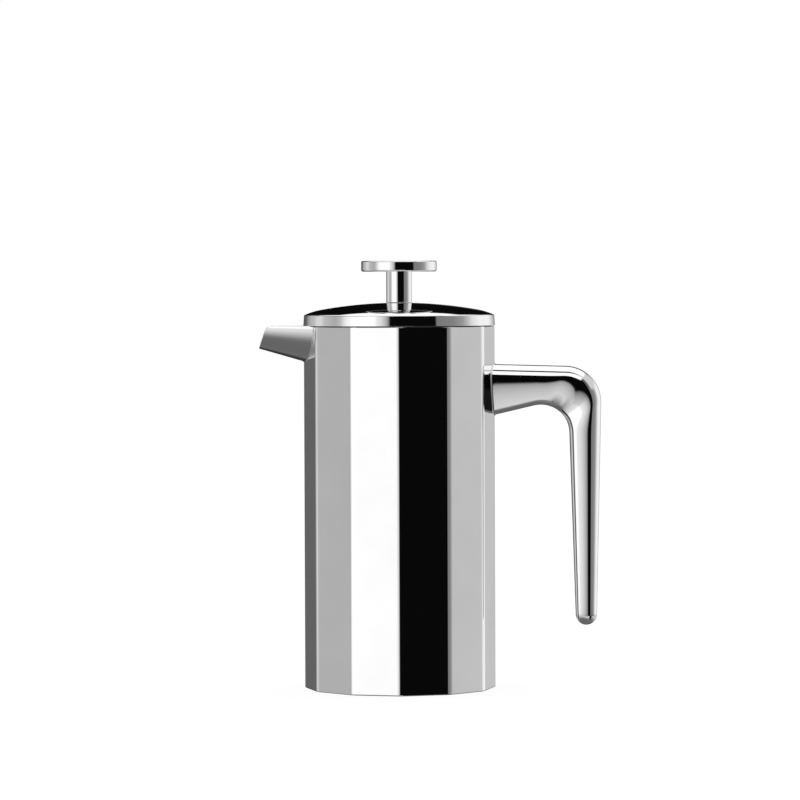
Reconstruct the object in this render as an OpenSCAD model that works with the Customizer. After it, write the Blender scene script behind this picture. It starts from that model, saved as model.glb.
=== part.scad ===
// Twelve-sided, double-walled steel french press.
// Millimetres. The origin is on the body's axis, on the plane the press stands on.
// +Z is up, +X points to the handle and -X to the spout.

/* [Body] */
// Distance across the flats of the twelve-sided jacket
body_flats = 101.8; // [101:0.2:104]
// Height of the body's rim above the table
rim_height = 199.2; // [190:0.2:210]
// Radius that softens the jacket's twelve corners
corner_radius = 6; // [3:0.5:8]
// Thickness of the sheet steel of both walls
sheet = 0.7; // [0.5:0.1:0.8]
// Inside diameter of the beaker
beaker_bore = 90; // [88:0.5:90]
// Height of the beaker's inside floor above the table
floor_height = 9; // [8:0.5:12]
// Inside radius where the beaker's wall turns into its floor
floor_radius = 6; // [3:0.5:6]
// Depth of the hollow under the base plate
base_recess = 1.2; // [0.5:0.1:1.5]

/* [Spout] */
// Radius of the spout's half cone at the jacket's corner
spout_root_radius = 19.6; // [17:0.2:20]
// Radius of the half cone at the lip
spout_lip_radius = 12.5; // [10:0.5:13]
// How far the lip stands out from the jacket's corner
spout_reach = 24.5; // [20:0.5:28]
// Wall of the spout
spout_wall = 1; // [0.8:0.1:1.2]
// Lean of the lip's cut back from upright, in degrees
lip_lean = 19; // [10:1:25]
// Radius that rounds the top of the lip
lip_radius = 4; // [2:0.5:5]

/* [Handle] */
// Height of the arm's top edge below the rim
handle_drop = 21.1; // [18:0.5:24]
// Height of the arm where it meets the body
arm_root_depth = 28.1; // [25:0.1:29]
// Rise of the arm's underside from the body to the elbow
arm_underside_rise = 5.7; // [4:0.1:7]
// Distance from the body's axis to the back of the grip
handle_reach = 111.2; // [108:0.5:114]
// Outside radius of the elbow
elbow_outer_radius = 20; // [18:0.5:22]
// Inside radius of the elbow
elbow_inner_radius = 16; // [12:0.5:17]
// Depth of the grip under the elbow
grip_depth = 17.4; // [15:0.2:18]
// Depth of the grip at its lower end
grip_end_depth = 11.6; // [10:0.1:13]
// Lean of the grip's back towards the body from top to bottom
grip_lean = 2.6; // [0:0.2:4]
// Height of the grip's lowest point above the table
grip_end_height = 34.1; // [30:0.1:50]
// Half width of the handle at the body and elbow
handle_half_width = 8.5; // [8.2:0.1:9]
// Half width of the handle at its lower end
grip_end_half_width = 5.9; // [5:0.1:7]
// Wall of the hollow handle
handle_wall = 1.5; // [1.2:0.1:2]
// How far the handle's root flares where it is welded on
root_flare = 1; // [0:0.2:1.4]

/* [Lid] */
// Radius of the lid's round band at its foot
lid_radius = 52.7; // [52.3:0.1:53]
// How much narrower the band is at its top
band_taper = 0.3; // [0:0.1:0.5]
// Open seam between the body's rim and the band
lid_seam = 0.3; // [0.2:0.1:1]
// Height of the dome's top above the rim
dome_rise = 12.9; // [12.5:0.1:14]
// Radius of the dome's curve
dome_radius = 245; // [235:5:270]
// Radius at which the dome starts to curve down more
shoulder_start = 43; // [40:0.5:45]
// Slope that the dome's shoulder reaches at the band, in degrees
shoulder_slope = 24; // [22:1:28]
// Radius of the edge between shoulder and band
lid_edge_radius = 1; // [0.9:0.1:1.5]
// Depth of the strainer collar below the rim
collar_depth = 23.2; // [22:0.2:26]
// Number of slots in the strainer
strainer_slots = 11; // [5:2:13]

/* [Plunger] */
// Diameter of the knob's disc
knob_diameter = 41.6; // [36:0.1:48]
// Thickness of the knob's disc
knob_thickness = 5.9; // [5:0.1:8]
// Diameter of the knob's stem
stem_diameter = 14.1; // [12:0.1:16]
// Length of the stem between dome and disc
stem_length = 17.05; // [14:0.05:22]
// Diameter of the plunger's rod
rod_diameter = 5; // [5:0.1:5.2]
// Height of the filter's mesh above the beaker's floor
filter_height = 7; // [6.5:0.5:12]
// Number of round holes in the filter's cap
cap_holes = 10; // [6:1:12]
// Number of windows in the plate below the mesh
cross_windows = 6; // [4:1:8]

/* [Hidden] */

// Smoothness of round surfaces, and of small ones
ROUND = 180;
FINE = 48;
// Steps in a short arc and in a long one
ARC_STEPS = 6;
DOME_STEPS = 24;
// Overlap that keeps a cut from leaving a skin, and a longer one
CUT = 1;
DEEP = 10;

// Body
CORNERS = 12;
HALF_SIDE = 180 / CORNERS;
body_apothem = body_flats / 2;
corner_reach = body_apothem / cos(HALF_SIDE);
beaker_radius = beaker_bore / 2;
beaker_outer = beaker_radius + sheet;
ring_thickness = 1;
plate_thickness = 2;
foot_width = 7;
plate_margin = 7;
plate_half_width = 14;
stiffener = 1.2;

// Spout
spout_lift = 0.4;
spout_top = rim_height + spout_lift;
spout_slope = (spout_root_radius - spout_lip_radius) / spout_reach;
spout_tip_x = -corner_reach - spout_reach;

// Handle
arm_top = rim_height - handle_drop;
arm_bottom = arm_top - arm_root_depth;
arm_fall = 1.1;
elbow_outer = [handle_reach - elbow_outer_radius, arm_top - arm_fall - elbow_outer_radius];
elbow_inner = [handle_reach - grip_depth - elbow_inner_radius,
               arm_bottom + arm_underside_rise - elbow_inner_radius];
tip_length = 6.1;
grip_end_back = [handle_reach - grip_lean, grip_end_height + tip_length];
grip_end_front = [grip_end_back.x - grip_end_depth, grip_end_back.y];
underside_angle = 13.3;

// Lid
band_bottom = rim_height + lid_seam;
dome_top = rim_height + dome_rise;
cover = 0.8;
liner_bottom = rim_height + 1.3;
liner_radius = lid_radius - cover - 0.1;
collar_bottom = rim_height - collar_depth;
collar_radius = beaker_radius - 0.6;
slot_foot = 4;
slot_head = 6;
seal_radius = body_apothem - 0.4;
seal_clearance = 0.35;
seal_play = 0.02;
seal_squeeze = 0.05;
slot_width = 1.6;
slot_spread = 46;
bush_radius = 4.5;
bush_bore = 3.5;
bush_flange_radius = 8;
bush_flange = 1.5;
bush_recess = 0.1;
bush_tail = 2;
nut_radius = 7.5;
nut_height = 3.5;
bush_foot = liner_bottom - nut_height - bush_tail;
sleeve_play = 0.05;
sleeve_lip = 1.2;
sleeve_recess = 0.3;

// Plunger
rod_radius = rod_diameter / 2;
stem_bottom = dome_top + 0.05;
disc_bottom = stem_bottom + stem_length;
disc_edge = 1;
stud_radius = 3;
stud_depth = 3;
rod_grip = 12;
shoulder_collar_radius = 4.5;
shoulder_collar_height = 4;
mesh_z = floor_height + filter_height;
mesh_thickness = 0.4;
mesh_radius = beaker_radius - 0.8;
cap_radius = 41;
cap_sheet = 0.8;
cap_rim = 2.6;
hole_circle = 26;
hole_radius = 4;
spring_wire = 1.6;
spring_radius = beaker_radius - 0.4 - spring_wire;
spring_lift = 0.3;
cross_thickness = 1;
cross_radius = 41.5;
window_inner = 12;
window_outer = 36;
spoke = 5;
hub_radius = 6;
hub_height = 4.5;

// ---------- helpers ----------

// Points along an arc in the plane, from angle a0 to angle a1
function arc(centre, r, a0, a1, steps = ARC_STEPS) =
    [for (i = [0 : steps]) let (a = a0 + (a1 - a0) * i / steps)
        centre + r * [cos(a), sin(a)]];

// A point part of the way from p to q
function between(p, q, t) = p + (q - p) * t;

// Outline of a twelve-sided shape whose corners are rounded
function twelve_sides(apothem, r) =
    [for (i = [0 : CORNERS - 1]) let (a = i * 360 / CORNERS)
        each arc((apothem - r) / cos(HALF_SIDE) * [cos(a), sin(a)], r, a - HALF_SIDE, a + HALF_SIDE)];

module twelve_sided(apothem, r, height, z = 0) {
    translate([0, 0, z])
        linear_extrude(height) polygon(twelve_sides(apothem, r));
}

module tube(outer, inner, height, z) {
    translate([0, 0, z]) difference() {
        cylinder(r = outer, h = height, $fn = ROUND);
        translate([0, 0, -CUT]) cylinder(r = inner, h = height + 2 * CUT, $fn = ROUND);
    }
}

// The full cone that the spout is half of, lying along X, thinned by inset
module spout_cone(inset) {
    inner_x = beaker_radius - DEEP;
    long = -spout_tip_x + CUT - inner_x;
    root = spout_root_radius + spout_slope * (corner_reach - inner_x) - inset;
    translate([-inner_x, 0, spout_top])
        rotate([0, -90, 0])
            cylinder(h = long, r1 = root, r2 = root - spout_slope * long, $fn = ROUND);
}

// ---------- body ----------

module outer_jacket() {
    color("silver") difference() {
        twelve_sided(body_apothem, corner_radius, rim_height);
        twelve_sided(body_apothem - sheet, corner_radius - sheet, rim_height + 2 * CUT, -CUT);
        spout_cone(0);
    }
}

// Round beaker that holds the coffee, cut open where the spout leaves it
module inner_beaker() {
    outline = concat(
        [[0, floor_height - sheet]],
        arc([beaker_radius - floor_radius, floor_height + floor_radius], floor_radius + sheet, -90, 0),
        [[beaker_outer, rim_height], [beaker_radius, rim_height]],
        arc([beaker_radius - floor_radius, floor_height + floor_radius], floor_radius, 0, -90),
        [[0, floor_height]]);
    color("gainsboro") difference() {
        rotate_extrude($fn = ROUND) polygon(outline);
        spout_cone(0);
    }
}

// Pressed ring that closes the space between the two walls at the rim
module rim_ring() {
    color("silver") difference() {
        twelve_sided(body_apothem - sheet, corner_radius - sheet, ring_thickness,
                     rim_height - ring_thickness);
        translate([0, 0, rim_height - ring_thickness - CUT])
            cylinder(r = beaker_outer, h = ring_thickness + 2 * CUT, $fn = ROUND);
        spout_cone(0);
    }
}

// Bottom of the jacket: it stands on the foot around a shallow recess
module base_plate() {
    color("silver") difference() {
        twelve_sided(body_apothem - sheet, corner_radius - sheet, plate_thickness);
        translate([0, 0, -CUT])
            cylinder(r = body_apothem - foot_width, h = base_recess + CUT, $fn = ROUND);
    }
}

// Side view of the spout: level top, rounded lip and a lip cut that leans back
function spout_profile() =
    let (lean = 180 - lip_lean,
         low = spout_top - spout_root_radius - DEEP,
         tip_z = spout_top - spout_lip_radius,
         round_z = spout_top - lip_radius,
         tangent_z = round_z + lip_radius * sin(lean),
         tangent_x = spout_tip_x + tan(lip_lean) * (tangent_z - tip_z),
         round_x = tangent_x - lip_radius * cos(lean))
    concat([[-beaker_radius / 2, low], [-beaker_radius / 2, spout_top]],
           arc([round_x, round_z], lip_radius, 90, lean),
           [[spout_tip_x - tan(lip_lean) * (tip_z - low), low]]);

module spout() {
    width = 2 * (spout_root_radius + DEEP);
    color("silver") difference() {
        intersection() {
            spout_cone(0);
            rotate([90, 0, 0])
                linear_extrude(width, center = true) polygon(spout_profile());
        }
        spout_cone(spout_wall);
        translate([0, 0, spout_top - spout_root_radius - DEEP])
            cylinder(r = beaker_radius, h = spout_root_radius + 2 * DEEP, $fn = ROUND);
        // under the lid's band the spout is level with the rim
        translate([0, 0, rim_height]) cylinder(r = lid_radius + lid_seam, h = DEEP, $fn = ROUND);
    }
}

// ---------- handle ----------

// Number of sections along the arm, the elbow, the grip and its rounded end
ARM_STEPS = 4;
ELBOW_STEPS = 10;
GRIP_STEPS = 6;
TIP_STEPS = 5;
// How far round the rounded end its last section is
TIP_TURN = 84;
// How deep the handle's first section reaches into the body before it is seated
ROOT_DEPTH = 1;

// Each station is [inside point, outside point, half width, direction of the back's normal],
// in the XZ plane
function arm_station(t) =
    [between([corner_reach - ROOT_DEPTH, arm_bottom],
             elbow_inner + elbow_inner_radius * [cos(90 + underside_angle), sin(90 + underside_angle)], t),
     between([corner_reach - ROOT_DEPTH, arm_top], elbow_outer + [0, elbow_outer_radius], t),
     handle_half_width, 90];

function elbow_station(t) =
    let (out = 90 * (1 - t), in = (90 + underside_angle) * (1 - t))
    [elbow_inner + elbow_inner_radius * [cos(in), sin(in)],
     elbow_outer + elbow_outer_radius * [cos(out), sin(out)],
     handle_half_width, out];

function grip_station(t) =
    [between(elbow_inner + [elbow_inner_radius, 0], grip_end_front, t),
     between(elbow_outer + [elbow_outer_radius, 0], grip_end_back, t),
     handle_half_width + (grip_end_half_width - handle_half_width) * t, 0];

function tip_station(t) =
    let (a = TIP_TURN * t, middle = (grip_end_front + grip_end_back) / 2 - [0, tip_length * sin(a)],
         half = [grip_end_depth / 2 * cos(a), 0])
    [middle - half, middle + half, grip_end_half_width * cos(a), 0];

function outer_stations() = concat(
    [for (i = [0 : ARM_STEPS - 1]) arm_station(i / ARM_STEPS)],
    [for (i = [0 : ELBOW_STEPS - 1]) elbow_station(i / ELBOW_STEPS)],
    [for (i = [0 : GRIP_STEPS]) grip_station(i / GRIP_STEPS)],
    [for (i = [1 : TIP_STEPS]) tip_station(i / TIP_STEPS)]);

// One side of the handle's cross-section as [depth, half width], from inside to back: a narrow
// inside face, its corner, a slightly round side, a tight shoulder and a broad round back.
// Each arc starts in the direction in which the one before it ends.
INNER_TURN = 106;
SIDE_TURN = 97.5;
BACK_TURN = 67.5;

function half_section(d, w) =
    let (corner = w * min(0.49, 1.4 - 0.257 * d / w), shoulder = 0.417 * w, back = 1.05 * w,
         side = (d - corner * (1 + cos(INNER_TURN)) - shoulder * (cos(BACK_TURN) - cos(SIDE_TURN))
                 - back * (1 - cos(BACK_TURN))) / (cos(SIDE_TURN) - cos(INNER_TURN)),
         back_centre = [d - back, 0],
         shoulder_centre = back_centre + (back - shoulder) * [cos(BACK_TURN), sin(BACK_TURN)],
         side_centre = shoulder_centre + (shoulder - side) * [cos(SIDE_TURN), sin(SIDE_TURN)],
         corner_centre = side_centre + (side - corner) * [cos(INNER_TURN), sin(INNER_TURN)],
         middle_turn = (INNER_TURN + SIDE_TURN) / 2)
    concat(arc(corner_centre, corner, 180, INNER_TURN, 3),
           [side_centre + side * [cos(middle_turn), sin(middle_turn)]],
           arc(shoulder_centre, shoulder, SIDE_TURN, BACK_TURN, 3),
           [for (i = [1 : 4]) let (a = BACK_TURN * (1 - i / 4)) back_centre + back * [cos(a), sin(a)]]);

function section(d, w) =
    let (half = half_section(d, w), last = len(half) - 1)
    concat(half, [for (i = [last - 1 : -1 : 0]) [half[i].x, -half[i].y]]);

// A ring of points in space around one station, moved in by inset. Where the station leans
// away from the back's normal, the section is stretched to keep its true size across the handle.
function ring(station, inset, grow = 0) =
    let (depth = norm(station[1] - station[0]),
         along = (station[1] - station[0]) / depth,
         stretch = 1 / (along * [cos(station[3]), sin(station[3])]))
    [for (p = section(depth / stretch - 2 * inset + 2 * grow, station[2] - inset + grow))
        let (q = station[0] + along * (p.x + inset - grow) * stretch) [q.x, p.y, q.y]];

// The same ring pushed onto the two facets that meet at the body's corner
function seated(points) = [for (p = points) [corner_reach - abs(p.y) * tan(HALF_SIDE), p.y, p.z]];

// Two triangles between neighbouring rings a and b, at side j of m
function side_faces(a, b, j, m, flip) =
    let (k = (j + 1) % m,
         one = [a + j, a + k, b + k], two = [a + j, b + k, b + j])
    flip ? [[one[2], one[1], one[0]], [two[2], two[1], two[0]]] : [one, two];

// Hollow handle: an outer skin and an inner skin that meet at the open root
module handle() {
    stations = outer_stations();
    hollow = ARM_STEPS + ELBOW_STEPS + GRIP_STEPS + 1;
    outer_rings = concat(
        [seated(ring(stations[0], 0, root_flare))],
        [for (i = [1 : len(stations) - 1]) ring(stations[i], 0)]);
    inner_rings = concat(
        [seated(ring(stations[0], handle_wall))],
        [for (i = [1 : hollow - 1]) ring(stations[i], handle_wall)]);
    sides = len(outer_rings[0]);
    outer_count = len(outer_rings) * sides;
    end = (grip_end_front + grip_end_back) / 2;
    points = concat([for (r = outer_rings) each r], [for (r = inner_rings) each r],
                    [[end.x, 0, end.y - tip_length], [end.x, 0, end.y - tip_length / 3]]);
    outer_end = len(points) - 2;
    inner_end = len(points) - 1;
    last_outer = outer_count - sides;
    last_inner = outer_count + (hollow - 1) * sides;
    faces = concat(
        [for (i = [0 : len(outer_rings) - 2], j = [0 : sides - 1])
            each side_faces(i * sides, (i + 1) * sides, j, sides, false)],
        [for (i = [0 : hollow - 2], j = [0 : sides - 1])
            each side_faces(outer_count + i * sides, outer_count + (i + 1) * sides, j, sides, true)],
        [for (j = [0 : sides - 1]) each side_faces(0, outer_count, j, sides, true)],
        [for (j = [0 : sides - 1]) [last_outer + j, last_outer + (j + 1) % sides, outer_end]],
        [for (j = [0 : sides - 1]) [last_inner + (j + 1) % sides, last_inner + j, inner_end]]);
    color("silver") polyhedron(points, faces);
}

// Stiffener welded inside the jacket, behind the handle's root
module handle_backing_plate() {
    gap = body_apothem - sheet;
    height = arm_root_depth + 2 * plate_margin;
    color("darkgray") intersection() {
        difference() {
            twelve_sided(gap, corner_radius - sheet, height, arm_bottom - plate_margin);
            twelve_sided(gap - stiffener, corner_radius - sheet - stiffener, height + 2 * CUT,
                         arm_bottom - plate_margin - CUT);
        }
        translate([0, -plate_half_width, 0]) cube([corner_reach, 2 * plate_half_width, rim_height]);
    }
}

// ---------- lid ----------

// Thin ring that the lid rests on; it stays in the seam when the lid turns
module lid_seal() {
    color("dimgray")
        tube(seal_radius, collar_radius + seal_clearance,
             liner_bottom - rim_height - seal_play - seal_squeeze, rim_height + seal_play);
}

// Outline from the band's foot over edge and shoulder to the dome's middle, thinned by inset
function lid_curve(inset) =
    let (e = lid_edge_radius, start = asin(shoulder_start / dome_radius), end = shoulder_slope,
         s = (lid_radius - band_taper - e * (1 - sin(end)) - shoulder_start) / (sin(end) - sin(start)),
         dome_centre = [0, dome_top - dome_radius],
         shoulder_centre = dome_centre + (dome_radius - s) * [sin(start), cos(start)],
         edge_centre = shoulder_centre + (s - e) * [sin(end), cos(end)],
         shoulder = arc(shoulder_centre, s - inset, 90 - end, 90 - start),
         dome = arc(dome_centre, dome_radius - inset, 90 - start, 90, DOME_STEPS))
    concat([[lid_radius - inset, band_bottom]],
           arc(edge_centre, e - inset, 0, 90 - end),
           [for (i = [1 : ARC_STEPS]) shoulder[i]],
           [for (i = [1 : DOME_STEPS]) dome[i]]);

module lid_cover() {
    outside = lid_curve(0);
    inside = lid_curve(cover);
    outline = concat(outside, [for (i = [len(inside) - 1 : -1 : 0]) inside[i]]);
    color("silver") difference() {
        rotate_extrude($fn = ROUND) polygon(outline);
        translate([0, 0, rim_height]) cylinder(r = bush_radius, h = dome_rise + CUT, $fn = FINE);
    }
}

// Flat plate pressed into the band; it closes the lid from below
module lid_liner() {
    color("gainsboro")
        tube(liner_radius, bush_radius, sheet, liner_bottom);
}

// Collar that drops into the beaker, with slots that face the spout
module strainer_collar() {
    height = liner_bottom - collar_bottom;
    slot_height = height - slot_foot - slot_head;
    color("silver") difference() {
        tube(collar_radius, collar_radius - sheet, height, collar_bottom);
        for (i = [0 : strainer_slots - 1])
            rotate([0, 0, 180 + slot_spread * (i / (strainer_slots - 1) - 0.5)])
                translate([collar_radius - DEEP, -slot_width / 2, collar_bottom + slot_foot])
                    cube([2 * DEEP, slot_width, slot_height]);
    }
}

// Flanged bush that ties the dome to the liner
module lid_bush() {
    flange_top = dome_top - cover - 2 * bush_recess;
    color("lightgray") difference() {
        union() {
            translate([0, 0, bush_foot])
                cylinder(r = bush_radius, h = dome_top - bush_recess - bush_foot, $fn = FINE);
            translate([0, 0, flange_top - bush_flange])
                cylinder(r = bush_flange_radius, h = bush_flange, $fn = FINE);
        }
        translate([0, 0, collar_bottom])
            cylinder(r = bush_bore, h = dome_top - collar_bottom + CUT, $fn = FINE);
    }
}

// Six-sided nut under the liner
module bush_nut() {
    color("lightgray") difference() {
        translate([0, 0, liner_bottom - nut_height]) cylinder(r = nut_radius, h = nut_height, $fn = 6);
        translate([0, 0, collar_bottom])
            cylinder(r = bush_radius, h = dome_top - collar_bottom, $fn = FINE);
    }
}

// Plastic sleeve that guides the rod in the bush; its lip catches the bush's lower end
module rod_sleeve() {
    foot = bush_foot - sleeve_play;
    color("white") difference() {
        union() {
            translate([0, 0, foot])
                cylinder(r = bush_bore - sleeve_play, h = dome_top - sleeve_recess - foot, $fn = FINE);
            translate([0, 0, foot - sleeve_lip]) cylinder(r = bush_radius, h = sleeve_lip, $fn = FINE);
        }
        translate([0, 0, collar_bottom])
            cylinder(r = rod_radius + sleeve_play, h = dome_top - collar_bottom, $fn = FINE);
    }
}

// ---------- plunger ----------

module knob_disc() {
    r = knob_diameter / 2;
    top = disc_bottom + knob_thickness;
    outline = concat([[0, disc_bottom]],
                     arc([r - disc_edge, disc_bottom + disc_edge], disc_edge, -90, 0),
                     arc([r - disc_edge, top - disc_edge], disc_edge, 0, 90),
                     [[0, top]]);
    color("silver") difference() {
        rotate_extrude($fn = ROUND) polygon(outline);
        translate([0, 0, disc_bottom - CUT])
            cylinder(r = stud_radius, h = knob_thickness / 2 + CUT, $fn = FINE);
    }
}

module knob_stem() {
    color("silver") difference() {
        translate([0, 0, stem_bottom]) cylinder(d = stem_diameter, h = stem_length, $fn = ROUND);
        translate([0, 0, stem_bottom - CUT]) cylinder(r = rod_radius, h = rod_grip + CUT, $fn = FINE);
        translate([0, 0, disc_bottom - stud_depth])
            cylinder(r = stud_radius, h = stud_depth + CUT, $fn = FINE);
    }
}

// Stud that screws the disc to its stem
module knob_stud() {
    color("darkgray") translate([0, 0, disc_bottom - stud_depth])
        cylinder(r = stud_radius, h = stud_depth + knob_thickness / 2, $fn = FINE);
}

module plunger_rod() {
    foot = mesh_z - cross_thickness - hub_height;
    color("silver") translate([0, 0, foot])
        cylinder(r = rod_radius, h = stem_bottom + rod_grip - foot, $fn = FINE);
}

// Shoulder on the rod that the filter is screwed up against
module rod_collar() {
    color("silver") translate([0, 0, mesh_z + mesh_thickness + cap_sheet]) difference() {
        cylinder(r = shoulder_collar_radius, h = shoulder_collar_height, $fn = FINE);
        translate([0, 0, -CUT]) cylinder(r = rod_radius, h = shoulder_collar_height + 2 * CUT, $fn = FINE);
    }
}

// Perforated cap over the mesh, with an upturned rim inside the spring
module filter_cap() {
    color("silver") translate([0, 0, mesh_z + mesh_thickness]) difference() {
        rotate_extrude($fn = ROUND) polygon([
            [rod_radius, 0], [cap_radius, 0], [cap_radius, cap_rim],
            [cap_radius - cap_sheet, cap_rim], [cap_radius - cap_sheet, cap_sheet],
            [rod_radius, cap_sheet]]);
        for (i = [0 : cap_holes - 1])
            rotate([0, 0, i * 360 / cap_holes])
                translate([hole_circle, 0, -CUT])
                    cylinder(r = hole_radius, h = cap_sheet + 2 * CUT, $fn = FINE);
    }
}

// Coiled wire ring that presses the mesh's edge to the beaker, as a plain torus
module edge_spring() {
    color("darkgray") translate([0, 0, mesh_z + mesh_thickness + spring_lift + spring_wire])
        rotate_extrude($fn = ROUND) translate([spring_radius, 0]) circle(r = spring_wire, $fn = FINE);
}

module mesh_screen() {
    color("gray") tube(mesh_radius, rod_radius, mesh_thickness, mesh_z);
}

// Plate with windows that carries the mesh from below
module cross_plate() {
    color("silver") translate([0, 0, mesh_z - cross_thickness]) difference() {
        tube(cross_radius, rod_radius, cross_thickness, 0);
        difference() {
            tube(window_outer, window_inner, cross_thickness + 2 * CUT, -CUT);
            for (i = [0 : cross_windows - 1])
                rotate([0, 0, i * 360 / cross_windows])
                    translate([0, -spoke / 2, -2 * CUT])
                        cube([window_outer + CUT, spoke, cross_thickness + 4 * CUT]);
        }
    }
}

// Six-sided threaded hub that screws the filter to the rod
module filter_hub() {
    color("silver") translate([0, 0, mesh_z - cross_thickness - hub_height]) difference() {
        cylinder(r = hub_radius, h = hub_height, $fn = 6);
        translate([0, 0, -CUT]) cylinder(r = rod_radius, h = hub_height + 2 * CUT, $fn = FINE);
    }
}

outer_jacket();
inner_beaker();
rim_ring();
base_plate();
spout();
handle();
handle_backing_plate();
lid_seal();
lid_cover();
lid_liner();
strainer_collar();
lid_bush();
bush_nut();
rod_sleeve();
knob_disc();
knob_stem();
knob_stud();
plunger_rod();
rod_collar();
filter_cap();
edge_spring();
mesh_screen();
cross_plate();
filter_hub();
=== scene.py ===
"""Looks of the twelve-sided steel french press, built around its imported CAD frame. Metres."""
import math

import bmesh
import bpy
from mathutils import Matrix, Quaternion, Vector


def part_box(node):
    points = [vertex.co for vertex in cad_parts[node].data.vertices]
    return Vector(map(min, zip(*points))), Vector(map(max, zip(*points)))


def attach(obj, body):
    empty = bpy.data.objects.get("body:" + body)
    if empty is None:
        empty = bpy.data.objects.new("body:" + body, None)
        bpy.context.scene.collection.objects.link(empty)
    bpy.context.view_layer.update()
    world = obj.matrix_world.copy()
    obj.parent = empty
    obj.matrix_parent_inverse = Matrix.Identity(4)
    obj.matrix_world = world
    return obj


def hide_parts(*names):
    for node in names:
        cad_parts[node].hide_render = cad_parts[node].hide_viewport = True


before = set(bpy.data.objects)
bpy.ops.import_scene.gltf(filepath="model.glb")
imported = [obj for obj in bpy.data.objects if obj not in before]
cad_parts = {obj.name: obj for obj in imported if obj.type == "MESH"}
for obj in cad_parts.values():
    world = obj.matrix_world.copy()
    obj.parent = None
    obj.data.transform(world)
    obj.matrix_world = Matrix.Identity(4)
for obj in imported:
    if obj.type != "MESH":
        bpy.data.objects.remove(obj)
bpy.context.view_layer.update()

MM = 0.001
TAU = 2 * math.pi
SHARP = 38  # degrees: edges sharper than this stay sharp in the shading
MERGE = 1e-7
AXIS_MERGE = 3e-6  # joins the tiny rings that a turned part has on its axis


# ---------- the frame's own sizes ----------

def low(node):
    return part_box(node)[0]


def high(node):
    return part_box(node)[1]


RIM = high("outer_jacket").z
CORNERS = 12
HALF_SIDE = math.pi / CORNERS
CORNER_RADIUS = 6 * MM
CORNER_REACH = high("outer_jacket").x + CORNER_RADIUS * (1 / math.cos(HALF_SIDE) - 1)
APOTHEM = CORNER_REACH * math.cos(HALF_SIDE)
CORNER_BEND = 4.8 * MM
SHEET = 0.7 * MM
BEAKER_OUTER = high("inner_beaker").x
BEAKER_INNER = BEAKER_OUTER - SHEET
LID_RADIUS = high("lid_cover").x
BAND_FOOT = low("lid_cover").z


# ---------- mesh helpers ----------

def arc(centre, radius, start, end, steps):
    """Points on an arc in a plane, angles in degrees."""
    points = []
    for i in range(steps + 1):
        a = math.radians(start + (end - start) * i / steps)
        points.append((centre[0] + radius * math.cos(a), centre[1] + radius * math.sin(a)))
    return points


def around(centre, radius, angle):
    return centre + radius * Vector((math.cos(angle), math.sin(angle)))


def mix(a, b, t):
    return a + (b - a) * t


def new_object(name, mesh):
    """An object in the scene that shows this mesh."""
    obj = bpy.data.objects.new(name, mesh)
    bpy.context.scene.collection.objects.link(obj)
    return obj


def from_bmesh(name, bm, sharp=SHARP):
    """Turns a bmesh into an object: normals out, smooth faces, sharp edges kept."""
    bmesh.ops.remove_doubles(bm, verts=bm.verts, dist=MERGE)
    bmesh.ops.recalc_face_normals(bm, faces=bm.faces)
    mesh = bpy.data.meshes.new(name)
    bm.to_mesh(mesh)
    bm.free()
    mesh.shade_smooth()
    mesh.set_sharp_from_angle(angle=math.radians(sharp))
    return new_object(name, mesh)


def add_grid(bm, rings, close_ends=False):
    """Skins a list of closed rings of points. close_ends joins the last ring to the first."""
    made = [[bm.verts.new(p) for p in ring] for ring in rings]
    pairs = list(zip(made, made[1:]))
    if close_ends:
        pairs.append((made[-1], made[0]))
    for a, b in pairs:
        count = len(a)
        for j in range(count):
            k = (j + 1) % count
            bm.faces.new((a[j], a[k], b[k], b[j]))
    return made


def closed_solid(name, rings, sharp=SHARP):
    """Skins a list of rings and closes its two ends."""
    bm = bmesh.new()
    made = add_grid(bm, rings)
    bm.faces.new(made[0])
    bm.faces.new(made[-1])
    return from_bmesh(name, bm, sharp)


def add_lathe(bm, profile, segments=192):
    """Turns a closed outline of (radius, height) points about the Z axis."""
    rings = []
    for r, z in profile:
        r = max(r, 1e-6)
        rings.append([(r * math.cos(TAU * i / segments), r * math.sin(TAU * i / segments), z)
                      for i in range(segments)])
    add_grid(bm, rings, close_ends=True)


def lathe(name, profile, segments=192, sharp=SHARP):
    """A turned piece from its closed outline."""
    bm = bmesh.new()
    add_lathe(bm, profile, segments)
    bmesh.ops.remove_doubles(bm, verts=bm.verts, dist=AXIS_MERGE)
    bmesh.ops.dissolve_degenerate(bm, edges=bm.edges, dist=MERGE)
    return from_bmesh(name, bm, sharp)


def soften(obj, width, segments=3, angle=40):
    """Rounds the sharp edges a little, so that they catch the light."""
    bevel = obj.modifiers.new("edge", "BEVEL")
    bevel.width = width
    bevel.segments = segments
    bevel.limit_method = "ANGLE"
    bevel.angle_limit = math.radians(angle)
    return obj


def true_flats(obj):
    """Keeps flat faces flat in the shading where rounded edges meet them."""
    weigh = obj.modifiers.new("flats", "WEIGHTED_NORMAL")
    weigh.mode = "FACE_AREA"
    weigh.weight = 100
    weigh.keep_sharp = True
    return obj


def bake_modifiers(obj):
    """Applies the modifiers to the mesh."""
    graph = bpy.context.evaluated_depsgraph_get()
    mesh = bpy.data.meshes.new_from_object(obj.evaluated_get(graph))
    obj.modifiers.clear()
    obj.data = mesh
    return obj


def soft_edges(obj, width):
    """Rounds the sharp edges, keeps the flats flat and bakes both into the mesh."""
    soften(obj, width, 2)
    true_flats(obj)
    return bake_modifiers(obj)


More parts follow.
